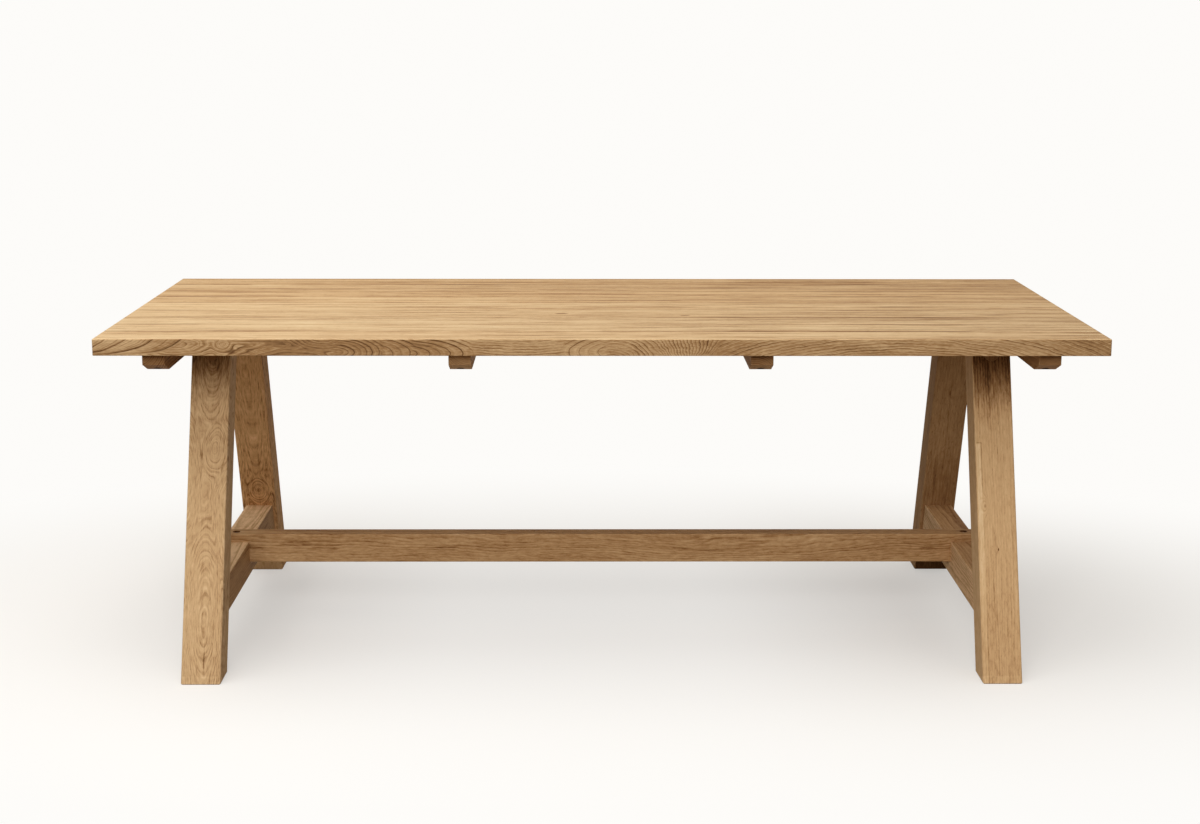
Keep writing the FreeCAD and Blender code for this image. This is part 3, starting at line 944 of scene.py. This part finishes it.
def withStrip(coordinates, local, value):
    strip = stripValues
    axes = axesOf(coordinates["Object"])
    edge, under = minus(axes["X"], strip["edge"]), minus(axes["Z"], strip["top"])
    softSide, softTop = strip["soft"]
    inside = times(ease(edge, 0.0, softSide), ease(under, 0.0, softTop))
    lifted = times(inside, ease(axes["Z"], *strip["fade"]), strip["gain"])
    besideIt, aboveIt = strip["overrun"]
    atSide = ease(calc("ABSOLUTE", edge), 0.0, strip["gap"], 1.0, 0.0)
    atTop = ease(calc("ABSOLUTE", under), 0.0, 2 * strip["gap"], 1.0, 0.0)
    sideLine = times(atSide, ease(under, aboveIt, 0.0), ease(axes["Z"], *strip["dirtFade"]))
    topLine = times(atTop, ease(edge, besideIt, 0.0))
    line = times(calc("MAXIMUM", sideLine, topLine), strip["dirt"])
    facing = ease(axesOf(coordinates["Normal"])["Y"], *strip["facing"])
    return plus(value, times(minus(lifted, line), facing))


def makeLegs(values):
    middle = tableValues["undersideOfTop"] / 2
    depth = values["footPlace"] - values["lean"] * middle - values["depth"] / 2
    for node, looks in values["pieces"].items():
        front = -1 if "front" in node else 1
        left, right = tableValues["frames"]
        centre = Vector((left if node.endswith("left") else right, front * depth, middle))
        lean = Matrix.Rotation(front * math.atan(values["lean"]), 3, "X")
        turn = lean @ Matrix.Rotation(-math.pi / 2, 3, "Y")
        piece = {**looks, "centre": centre, "turn": tuple(turn.to_euler())}
        piece.update({"half": values["half"], "upright": True})
        for marks in ("hearts", "knots", "dashes"):
            given = looks.get(marks, ())
            piece[marks] = [(*(turn.transposed() @ (Vector(mark[:3]) - centre)), *mark[3:]) for mark in given]
        dress(node, finishes["leg_wood"], piece, withStrip if node == "leg_front_right" else None)


makeLegs(legValues)
print("legs finished")


# Rails, stretchers and battens: centre, half sizes and the way their grain runs

left, right = tableValues["frames"]
railHeight, railScrews = tableValues["railHeight"], tableValues["railScrews"]
alongDepth = (0.0, 0.0, math.pi / 2)
railColours = finishes["rail_wood"]["colours"]
paleRail = (*railColours[:-1], (238, 203, 160))
crossStretcher = {"turn": alongDepth, "half": (0.4, 0.0345, 0.041), "drift": 0.014, "shortness": 1.6}
topRail = {"turn": alongDepth, "half": (0.3, 0.0225, 0.035), "drift": 0.012, "lightness": 0.46}
# The top shade of a stretcher paints shade on its faces that look up, and paints light there where it is
# negative
railValues = {
    "cross_stretcher_left": {
        **crossStretcher, "centre": (left, 0.0, 0.155), "holes": ((left, 0.0, 0.011),), "heart": (0.01, -0.05),
        "seed": 31.0, "pitch": 0.0050, "lightness": 0.53, "topShade": -0.44, "finish": {"colours": paleRail},
    },
    "cross_stretcher_right": {
        **crossStretcher, "centre": (right, 0.0, 0.155), "holes": ((right, 0.0, 0.011),),
        "heart": (-0.03, -0.04), "seed": 35.5, "pitch": 0.0046, "lightness": 0.92, "topShade": 0.34,
        "finish": {"colours": tinted(paleRail, -3)},
    },
    "top_rail_left": {
        **topRail, "centre": (left, 0.0, railHeight), "holes": [(left, y, 0.008) for y in railScrews],
        "heart": (0.02, -0.05), "seed": 39.1, "pitch": 0.0050,
    },
    "top_rail_right": {
        **topRail, "centre": (right, 0.0, railHeight), "holes": [(right, y, 0.008) for y in railScrews],
        "heart": (-0.02, 0.05), "seed": 42.7, "pitch": 0.0052,
    },
    "long_stretcher": {
        "centre": (0.0, 0.0, 0.181), "half": (0.9265, 0.025, 0.035), "heart": (0.05, 0.06), "seed": 47.3,
        "pitch": 0.0044, "drift": 0.030, "lightness": 0.63, "swirl": 3.0, "swirlSize": (7.0, 20.0, 20.0),
        "shortness": 2.2, "topShade": 0.05, "dashes": ((-0.84, 0.0, 0.035, 0.16, 0.05, -0.22),),
        "holes": ((left, 0.0, 0.009), (right, 0.0, 0.009)),
        "finish": {"strands": 0.70, "streaks": 0.85, "colours": tinted(railColours, -3)},
    },
}
# Battens: their painted shades darken the upper part of their end faces, where the top casts its shade, and
# their end lightness is partly the end grain and partly painted light on those faces
battenValues = {
    "centre": 0.714,
    "holeRadius": 0.008,
    "common": {
        "turn": alongDepth, "half": (0.442, 0.0245, 0.024), "drift": 0.016, "paintedShades": ((0.717, 0.735, 0.46),),
    },
    "pieces": {
        "batten_left_end": {
            "heart": (0.03, 0.02), "seed": 51.9, "pitch": 0.0042, "lightness": 0.38, "endLightness": 0.12,
        },
        "batten_left_middle": {
            "heart": (-0.02, 0.04), "seed": 55.2, "pitch": 0.0040, "lightness": 0.73, "endLightness": -0.04,
        },
        "batten_right_middle": {
            "heart": (0.02, -0.04), "seed": 58.8, "pitch": 0.0044, "lightness": 0.56, "endLightness": -0.07,
        },
        "batten_right_end": {
            "heart": (-0.03, -0.02), "seed": 62.4, "pitch": 0.0042, "lightness": 0.50, "endLightness": 0.01,
        },
    },
}
plugValues = {
    "centre": (0.0, 0.0, railHeight), "turn": alongDepth, "half": (9.0, 9.0, 9.0),
    "heart": (0.02, 0.06), "seed": 66.0, "pitch": 0.0030, "drift": 0.01, "lightness": 0.58,
}
paleToRight = 0.08


def makeBattens(values):
    for (node, looks), x in zip(values["pieces"].items(), tableValues["battens"]):
        holes = [(x, y, values["holeRadius"]) for y in tableValues["battenScrews"]]
        piece = {**values["common"], "centre": (x, 0.0, values["centre"]), "holes": holes, **looks}
        dress(node, finishes["batten_wood"], piece)


def withSides(coordinates, local, value):  # the plugs on the right are paler
    return plus(value, times(axesOf(coordinates["Object"])["X"], paleToRight))


for node, piece in railValues.items():
    dress(node, finishes["rail_wood"], piece)
makeBattens(battenValues)
dress("leg_plugs", finishes["plug_wood"], plugValues, withSides)
print("rails, stretchers, battens and plugs finished")


# Steel, plated and a little dulled

steelValues = {
    "colour": (150, 148, 142),
    "dull": (96, 92, 86),
    "dullEdges": (0.35, 0.7),
    "cloud": 240.0,
    "roughness": (0.28, 0.5),
    "bump": (0.12, 0.0002),
}


def makeSteel(values):
    material, coordinates = startMaterial("platedSteel")
    cloud = noise(coordinates["Object"], values["cloud"], 3.0)
    colour = blend(ease(cloud, *values["dullEdges"]), paint(*values["colour"]), paint(*values["dull"]))
    wires = {"Base Color": colour, "Roughness": weigh(cloud, *values["roughness"])}
    shader = closeMaterial(wires, cloud, *values["bump"])
    shader.inputs["Metallic"].default_value = 1.0
    return material


steel = makeSteel(steelValues)
print("steel finished")


# Fasteners: each kind is modelled once about the Z axis with its bearing face at height 0,
# then copied to its places and joined into one piece for each node

weldReach = 0.000002


def selectOnly(*pieces):
    bpy.ops.object.select_all(action="DESELECT")
    for piece in pieces:
        piece.select_set(True)
    bpy.context.view_layer.objects.active = pieces[0]


def selectAll():
    bpy.ops.mesh.select_all(action="SELECT")


def drawLine(name, outline):  # a line of points through these radii and heights
    bpy.ops.object.select_all(action="DESELECT")
    bpy.ops.mesh.primitive_plane_add(size=0.001, location=(0.0, 0.0, 0.0))
    piece = bpy.context.object
    piece.name = name
    bpy.ops.object.mode_set(mode="EDIT")
    selectAll()
    bpy.ops.mesh.merge(type="CENTER")
    bpy.ops.transform.translate(value=(outline[0][0], 0.0, outline[0][1]))
    for (radius, height), (nextRadius, nextHeight) in zip(outline, outline[1:]):
        move = {"value": (nextRadius - radius, 0.0, nextHeight - height)}
        bpy.ops.mesh.extrude_vertices_move(TRANSFORM_OT_translate=move)
    selectAll()
    return piece


def closeMesh():  # from edit mode, with everything merged and facing outwards
    selectAll()
    bpy.ops.mesh.remove_doubles(threshold=weldReach)
    bpy.ops.mesh.normals_make_consistent(inside=False)
    bpy.ops.object.mode_set(mode="OBJECT")


def turned(name, outline, steps=40):
    piece = drawLine(name, outline)
    bpy.ops.mesh.spin(steps=steps, angle=2 * math.pi, center=(0.0, 0.0, 0.0), axis=(0.0, 0.0, 1.0))
    closeMesh()
    return piece


toothShape = (("root", 0.0), ("crest", 0.40), ("crest", 0.50), ("root", 0.90), ("root", 1.0))


def threaded(name, thread, bottom, top):  # one tooth, wound up the shank and cut level at both ends
    pitch = thread["pitch"]
    start = bottom - 1.5 * pitch
    piece = drawLine(name, [(thread[radius], start + share * pitch) for radius, share in toothShape])
    bpy.ops.object.mode_set(mode="OBJECT")
    winding = piece.modifiers.new("winding", "SCREW")
    winding.axis = "Z"
    winding.screw_offset = pitch
    winding.iterations = math.ceil((top - bottom) / pitch) + 3
    winding.steps = winding.render_steps = thread["steps"]
    winding.use_merge_vertices = True
    winding.merge_threshold = weldReach
    bpy.ops.object.modifier_apply(modifier=winding.name)
    bpy.ops.object.mode_set(mode="EDIT")
    selectAll()
    bpy.ops.mesh.remove_doubles(threshold=weldReach)
    for height, upward in ((bottom, -1.0), (top, 1.0)):
        selectAll()
        bpy.ops.mesh.bisect(
            plane_co=(0.0, 0.0, height), plane_no=(0.0, 0.0, upward), use_fill=True, clear_outer=True,
            threshold=0.000001)
    closeMesh()
    return piece


def prismCutter(sides, radius, bottom, top, narrow=1.0, squeeze=1.0, turn=(0.0, 0.0, 0.0)):
    bpy.ops.object.select_all(action="DESELECT")
    bpy.ops.mesh.primitive_cone_add(
        vertices=sides, radius1=radius, radius2=radius * narrow, depth=top - bottom,
        location=(0.0, 0.0, (bottom + top) / 2))
    cutter = bpy.context.object
    cutter.scale = (1.0, squeeze, 1.0)
    cutter.rotation_euler = turn
    bpy.ops.object.transform_apply(location=True, rotation=True, scale=True)
    return cutter


def cutWith(piece, cutter, operation="DIFFERENCE"):
    selectOnly(piece)
    cut = piece.modifiers.new("cut", "BOOLEAN")
    cut.operation = operation
    cut.solver = "EXACT"
    cut.object = cutter
    bpy.ops.object.modifier_apply(modifier=cut.name)
    bpy.data.objects.remove(cutter)
    return piece


def joined(name, pieces):
    selectOnly(*pieces)
    bpy.ops.object.join()
    pieces[0].name = pieces[0].data.name = name
    return pieces[0]


screwValues = {
    "head": (0.00475, 0.0030),  # its radius and height
    "pan": ((0.0, 1.0), (0.45, 0.985), (0.72, 0.90), (0.90, 0.72), (1.0, 0.42), (1.0, 0.08), (0.965, 0.0)),
    "shank": 0.0024,
    "neck": 1.15,
    "bevels": (0.0004, 0.0006),
    "threadLength": 0.030,
    "threadGap": 0.0003,
    "point": 0.0055,
    "thread": {"root": 0.0016, "crest": 0.0025, "pitch": 0.0022, "steps": 14},
    "cross": (0.0026, 0.0004, 0.0019),  # its reach, and how far it starts above and ends below the head's top
    "crossTaper": (0.45, 0.30),
    "steps": 32,
}


def makeScrew(name, length):  # pan head below the bearing face, point at the top
    values = screwValues
    (head, deep), shank, root = values["head"], values["shank"], values["thread"]["root"]
    neckBevel, shankBevel = values["bevels"]
    plainEnd = length - values["threadLength"]
    pointStart = length - values["point"]
    body = turned(name, (
        *[(across * head, -down * deep) for across, down in values["pan"]],
        (shank * values["neck"], 0.0), (shank, neckBevel), (shank, plainEnd),
        (root, plainEnd + shankBevel), (root, pointStart), (0.0, length)), values["steps"])
    reach, above, below = values["cross"]
    for turn in (0.0, math.pi / 2):
        blade = prismCutter(4, reach, -deep - above, below - deep, *values["crossTaper"], (0.0, 0.0, turn))
        cutWith(body, blade)
    thread = threaded(name + "Thread", values["thread"], plainEnd + values["threadGap"], pointStart)
    return joined(name, [body, thread])


boltValues = {
    "head": (0.0065, 0.008),  # its radius and height
    "rim": ((1.0, 0.0009), (0.95, 0.0003), (0.86, 0.0)),  # shares of the radius, and depths below the top
    "shank": 0.0039,
    "neck": 1.1,
    "under": 0.97,
    "bevels": (0.0004, 0.0003, 0.0006),  # of the neck, under the head and at both ends of the thread
    "flats": 0.006,
    "socket": 0.004,
    "drill": (0.0004, 0.0012, 0.0001, 6.5),
    "clear": 0.001,
    "threadLength": 0.028,
    "threadGap": 0.0008,
    "thread": {"root": 0.0033, "crest": 0.0040, "pitch": 0.00125, "steps": 24},
    "steps": 48,
}


def makeBolt(name, length):  # socket head above the bearing face, tip below
    values = boltValues
    (head, tall), shank, root = values["head"], values["shank"], values["thread"]["root"]
    neckBevel, headBevel, endBevel = values["bevels"]
    plainEnd = values["threadLength"] - length
    body = turned(name, (
        (0.0, -length), (root - endBevel, -length), (root, endBevel - length), (root, plainEnd - endBevel),
        (shank, plainEnd), (shank, -neckBevel), (shank * values["neck"], 0.0), (head * values["under"], 0.0),
        (head, headBevel), *[(head * share, tall - down) for share, down in values["rim"]], (0.0, tall),
    ), values["steps"])
    floor = tall - values["socket"]
    cutWith(body, prismCutter(6, cornersOf(values["flats"]), floor, tall + values["clear"]))
    tip, below, above, wider = values["drill"]
    cutWith(body, prismCutter(24, tip, floor - below, floor + above, wider))
    thread = threaded(name + "Thread", values["thread"], values["threadGap"] - length, plainEnd)
    return joined(name, [body, thread])


def cornersOf(flats):  # radius to the corners of a hexagon this wide over its flats
    return flats / 2 / math.cos(math.pi / 6)


roundValues = {
    "washerEdge": 0.0003,
    "washerHole": 0.0042,
    "nutFlats": 0.013,
    "nutHeight": 0.0065,
    "nutHole": 0.00405,
    "nutFace": 0.97,
    "nutSlope": 0.62,
    "nutMouth": 0.0016,
    "nutBevel": 0.0006,
    "barrel": (0.006, 0.010),
    "barrelCross": (32, 0.00405, -0.008, 0.008),
    "barrelSlot": (0.0095, 0.0016, 0.11),
    "clear": (0.0001, 0.0002, 0.0003, 0.001),
}


def makeWasher(name, outer, thick):
    hole, edge = roundValues["washerHole"], roundValues["washerEdge"]
    return turned(name, (
        (hole, edge), (hole + edge, 0.0), (outer - edge, 0.0), (outer, edge), (outer, thick - edge),
        (outer - edge, thick), (hole + edge, thick), (hole, thick - edge), (hole, edge)), 48)


def makeNut(name):
    values = roundValues
    tall, hole = values["nutHeight"], values["nutHole"]
    reach, face = cornersOf(values["nutFlats"]), values["nutFlats"] / 2 * values["nutFace"]
    slope = (reach - face) * values["nutSlope"]
    hair, thin, edge, clear = values["clear"]
    piece = prismCutter(6, reach, 0.0, tall)
    piece.name = name
    cutWith(piece, turned("nutRounding", (
        (0.0, -thin), (face - edge, -thin), (face, 0.0), (reach + hair, slope), (reach + hair, tall - slope),
        (face, tall), (face - edge, tall + thin), (0.0, tall + thin)), 52), "INTERSECT")
    mouth, bevel = hole + values["nutMouth"], values["nutBevel"]
    return cutWith(piece, turned("nutHole", (
        (0.0, -clear), (mouth, -clear), (hole, bevel), (hole, tall - bevel), (mouth, tall + clear),
        (0.0, tall + clear))))


def makeBarrelNut(name):
    values = roundValues
    (radius, half), bevel, clear = values["barrel"], values["nutBevel"], values["clear"][-1]
    piece = turned(name, (
        (0.0, -half), (radius - bevel, -half), (radius, bevel - half), (radius, half - bevel),
        (radius - bevel, half), (0.0, half)))
    cutWith(piece, prismCutter(*values["barrelCross"], turn=(math.pi / 2, 0.0, 0.0)))
    reach, deep, squeeze = values["barrelSlot"]
    return cutWith(piece, prismCutter(4, reach, -half - clear, deep - half, 1.0, squeeze))


def installed(name, model, places, node):  # each place has its point and its turn about X
    copies = []
    for point, turn in places:
        selectOnly(model)
        bpy.ops.object.duplicate(linked=False)
        made = bpy.context.object
        made.location = point
        made.rotation_euler = (turn, 0.0, 0.0)
        bpy.ops.object.transform_apply(location=True, rotation=True, scale=True)
        copies.append(made)
    bpy.data.objects.remove(model)
    piece = joined(name, copies)
    bpy.ops.object.shade_smooth_by_angle(angle=math.radians(32))
    piece.data.materials.clear()
    piece.data.materials.append(steel)
    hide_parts(node)
    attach(piece, "root")


hardwareValues = {
    "battenSeat": 0.712,
    "railSeat": 0.708,
    "screwTip": 0.765,
    "tongueSeat": 0.203,
    "underSeat": 0.134,
    "washer": (0.008, 0.0016),
    "boltTip": 0.1259,
    "legWasherFront": 0.21056,
    "legWasher": (0.015, 0.002),
    "legBoltTip": 0.11052,
    "barrelDepth": 0.11652,
}


def makeHardware(values):
    frames, high = tableValues["frames"], tableValues["railHeight"]
    tip, front, thick = values["screwTip"], values["legWasherFront"], values["washer"][1]
    seat, under = values["tongueSeat"], values["underSeat"] - thick
    quarter = math.pi / 2
    legs = [(x, side) for x in frames for side in (-1, 1)]

    low = values["battenSeat"]
    spots = [((x, y, low), 0.0) for x in tableValues["battens"] for y in tableValues["battenScrews"]]
    installed("battenScrews", makeScrew("battenScrew", tip - low), spots, "batten_screws")
    low = values["railSeat"]
    spots = [((x, y, low), 0.0) for x in frames for y in tableValues["railScrews"]]
    installed("topRailScrews", makeScrew("topRailScrew", tip - low), spots, "top_rail_screws")

    bolt = makeBolt("stretcherBolt", seat + thick - values["boltTip"])
    installed("stretcherBolts", bolt, [((x, 0.0, seat + thick), 0.0) for x in frames], "stretcher_bolts")
    spots = [((x, 0.0, low), 0.0) for x in frames for low in (seat, under)]
    washer = makeWasher("stretcherWasher", *values["washer"])
    installed("stretcherWashers", washer, spots, "stretcher_washers")
    spots = [((x, 0.0, under - roundValues["nutHeight"]), 0.0) for x in frames]
    installed("stretcherNuts", makeNut("stretcherNut"), spots, "stretcher_nuts")

    bolt = makeBolt("legBolt", front - values["legBoltTip"])
    spots = [((x, side * front, high), -side * quarter) for x, side in legs]
    installed("legBolts", bolt, spots, "leg_bolts")
    spots = [((x, side * front, high), side * quarter) for x, side in legs]
    washer = makeWasher("legBoltWasher", *values["legWasher"])
    installed("legBoltWashers", washer, spots, "leg_bolt_washers")
    spots = [((x, side * values["barrelDepth"], high), 0.0) for x, side in legs]
    installed("barrelNuts", makeBarrelNut("barrelNut"), spots, "barrel_nuts")


makeHardware(hardwareValues)
print("fasteners made")


# Floor: pale, with the table's soft shadow, running out into the plain background

stageValues = {
    "background": (0.982, 0.970, 0.947, 1.0),
    "floor": (0.93, 0.92, 0.90, 1.0),
    "size": 60.0,
    "bounce": (0.335, 0.298, 0.25, 1.0),
    "lift": (0.25, 0.85, 0.64, 0.42),  # from and to this far sideways, and how much at each
    "fade": (0.66, 1.60),
    "fadeStretch": (0.62, 1.0, 1.0),
    "fadeCentre": (-0.05, 0.05, 0.0),
    "glow": (1.0, 0.945, 0.87, 1.0),
    "glowHeights": (0.0, 0.9, 0.06, 0.68),  # from and to this height, and how much at each
}


def seenDirectly(tree):
    rays = addNode("LightPath", tree=tree).outputs
    seen = calc("MAXIMUM", rays["Is Camera Ray"], rays["Is Glossy Ray"])
    return calc("MAXIMUM", seen, rays["Is Transmission Ray"])


def mixShaders(share, first, second):
    return addNode("MixShader", {0: share, 1: first.outputs[0], 2: second.outputs[0]})


def makeWorld(values):
    world = bpy.data.worlds.new("studio")
    world.use_nodes = True
    tree = world.node_tree
    tree.nodes.clear()
    scene.world = world
    height = axesOf(addNode("TexCoord", tree=tree).outputs["Generated"])["Z"]
    even = addNode("Background", {"Color": values["glow"], "Strength": ease(height, *values["glowHeights"])})
    plain = addNode("Background", {"Color": values["background"]}, tree)
    mixed = mixShaders(seenDirectly(tree), even, plain)
    addNode("OutputWorld", {"Surface": mixed.outputs[0]})


def makeFloor(values):
    material, coordinates = startMaterial("studioFloor")
    tree = material.node_tree
    away = minus(coordinates["Object"], values["fadeCentre"])
    distance = calc("LENGTH", times(away, values["fadeStretch"]))
    lift = ease(calc("ABSOLUTE", axesOf(away)["X"]), *values["lift"])
    seen = seenDirectly(tree)
    share = times(weigh(ease(distance, *values["fade"]), lift, 1.0), seen)
    lit = addNode("BsdfDiffuse", {"Color": blend(seen, values["bounce"], values["floor"])})
    plain = addNode("Emission", {"Color": values["background"]}, tree)
    below = addNode("NewGeometry", tree=tree).outputs["Backfacing"]
    sided = mixShaders(below, mixShaders(share, lit, plain), addNode("BsdfTransparent", tree=tree))
    addNode("OutputMaterial", {"Surface": sided.outputs[0]})
    bpy.ops.object.select_all(action="DESELECT")
    bpy.ops.mesh.primitive_plane_add(size=values["size"], location=(0.0, 0.0, 0.0))
    floor = bpy.context.object
    floor.name = "studioFloor"
    floor.data.materials.append(material)


makeWorld(stageValues)
makeFloor(stageValues)
print("floor and background made")


# Lamps: one large soft light from above and the left, a low one in front, and a weak one
# from the right

warmWhite = (1.0, 0.985, 0.96)
lampValues = {  # place, the place that it is aimed at, size, watts and colour
    "key": ((-1.4, -0.9, 3.7), (0.0, 0.0, 0.4), 3.4, 72.0, warmWhite),
    "front": ((-0.5, -4.8, 2.65), (0.0, 0.0, 0.45), 2.2, 108.0, warmWhite),
    "fill": ((2.6, -4.2, 1.3), (-0.2, 0.0, 0.25), 2.0, 9.0, (1.0, 0.96, 0.90)),
}


def makeLamps(values):
    for name, (place, aim, size, watts, colour) in values.items():
        lampData = bpy.data.lights.new(name + "Lamp", "AREA")
        lampData.shape = "SQUARE"
        lampData.size = size
        lampData.energy = watts
        lampData.color = colour
        lamp = bpy.data.objects.new(name + "Lamp", lampData)
        scene.collection.objects.link(lamp)
        lamp.location = place
        lamp.rotation_euler = (Vector(aim) - Vector(place)).to_track_quat("-Z", "Y").to_euler()


makeLamps(lampValues)
print("lamps made")
